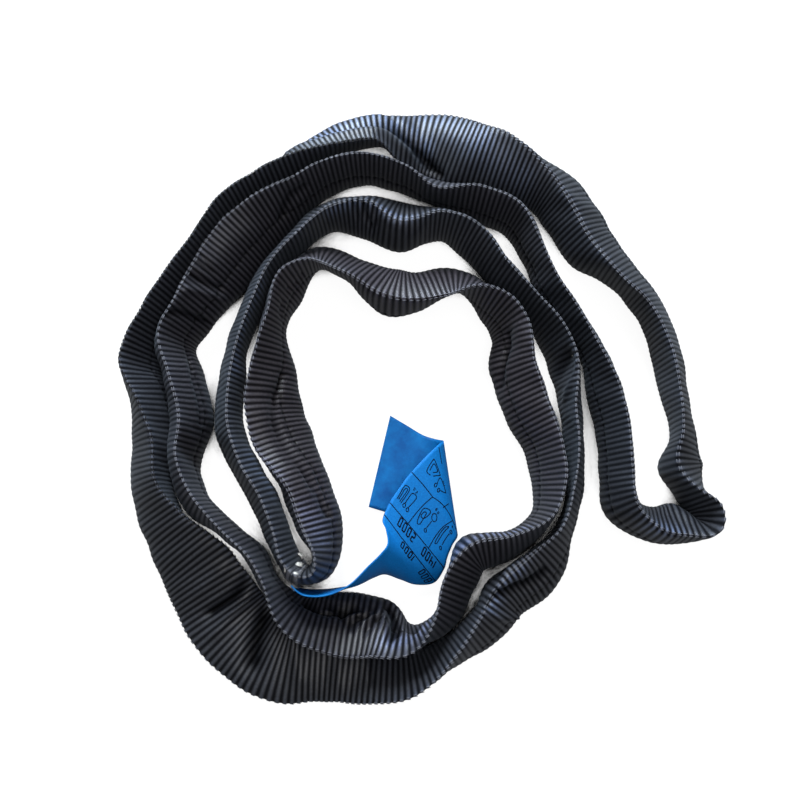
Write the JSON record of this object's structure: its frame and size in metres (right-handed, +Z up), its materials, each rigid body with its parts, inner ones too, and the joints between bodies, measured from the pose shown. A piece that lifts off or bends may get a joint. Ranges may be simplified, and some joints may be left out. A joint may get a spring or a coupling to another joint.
{
  "type": "round sling",
  "caption": "Endless polyester round sling with a ribbed black sleeve, dropped in a loose coil, and a blue identification label sewn in at the sleeve joint.",
  "frame": {"origin": "middle of the coiled sling's footprint on the floor", "axes": "+Z up, +Y towards the side where the sleeve is turned over, +X towards the outer bight"},
  "size_m": [0.3464, 0.3649, 0.0503],
  "materials": {
    "sleeve_cloth": "ribbed woven polyester with a slight sheen",
    "core_yarn": "loose polyester yarn",
    "tape": "cloth tape",
    "light_thread": "sewing thread",
    "dark_thread": "sewing thread",
    "label_cloth": "coated label cloth, semi-matte",
    "label_thread": "sewing thread"
  },
  "bodies": {
    "sling": {"sleeve": "sleeve_cloth", "yarn_core": "core_yarn", "yarn_end_tape": "tape", "upper_seam_thread": "light_thread", "lower_seam_thread": "dark_thread", "joint_stitching": "light_thread", "label_root": "label_cloth", "label_stitching": "label_thread"},
    "label": {"label_flap": "label_cloth"}
  },
  "joints": [
    {"name": "label_swing", "type": "hinge", "parent": "sling", "child": "label", "pos_m": [-0.035, -0.1145, 0.024], "axis": [0, 0, 1], "range_deg": [0, 15]}
  ]
}
